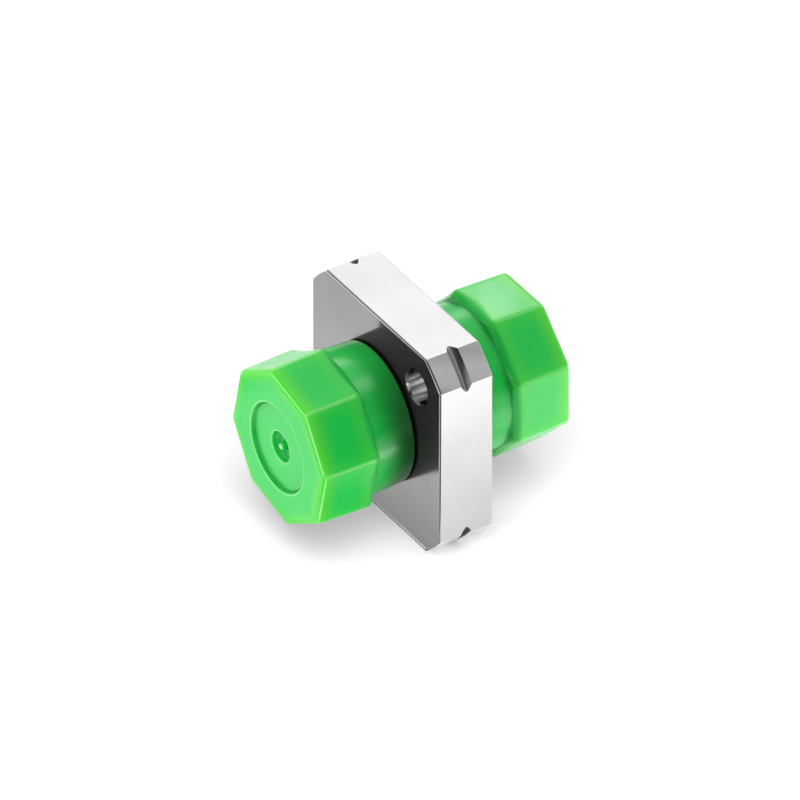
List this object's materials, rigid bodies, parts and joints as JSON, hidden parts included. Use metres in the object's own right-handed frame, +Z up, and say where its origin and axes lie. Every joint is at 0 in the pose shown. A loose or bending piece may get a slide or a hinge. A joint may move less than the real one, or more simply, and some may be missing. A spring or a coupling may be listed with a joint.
{
  "type": "fibre optic adapter",
  "caption": "Square solid flange adapter that joins two screw-on fibre plugs, with an octagonal push-on dust cap over each threaded barrel.",
  "frame": {"origin": "on the ferrule axis, at the middle of the flange, where the two ferrules meet", "axes": "+Y along the ferrule axis towards the rear cap, -Y towards the front cap, +Z up with the flange standing on its lower flat, +X to the right seen from the front"},
  "size_m": [0.015, 0.0188, 0.015],
  "materials": {
    "nickel_plate": "polished nickel plate over a turned and milled body",
    "green_plastic": "soft translucent moulded plastic",
    "white_ceramic": "ground zirconia, satin"
  },
  "bodies": {
    "adapter": {"adapter_body": "nickel_plate", "front_sleeve_holder": "nickel_plate", "rear_sleeve_holder": "nickel_plate", "alignment_sleeve": "white_ceramic"},
    "front_cap": {"front_dust_cap": "green_plastic"},
    "rear_cap": {"rear_dust_cap": "green_plastic"}
  },
  "joints": [
    {"name": "front_cap_pull", "type": "slide", "parent": "adapter", "child": "front_cap", "axis": [0, -1, 0], "range_m": [0, 0.02]},
    {"name": "rear_cap_pull", "type": "slide", "parent": "adapter", "child": "rear_cap", "axis": [0, 1, 0], "range_m": [0, 0.02]}
  ]
}
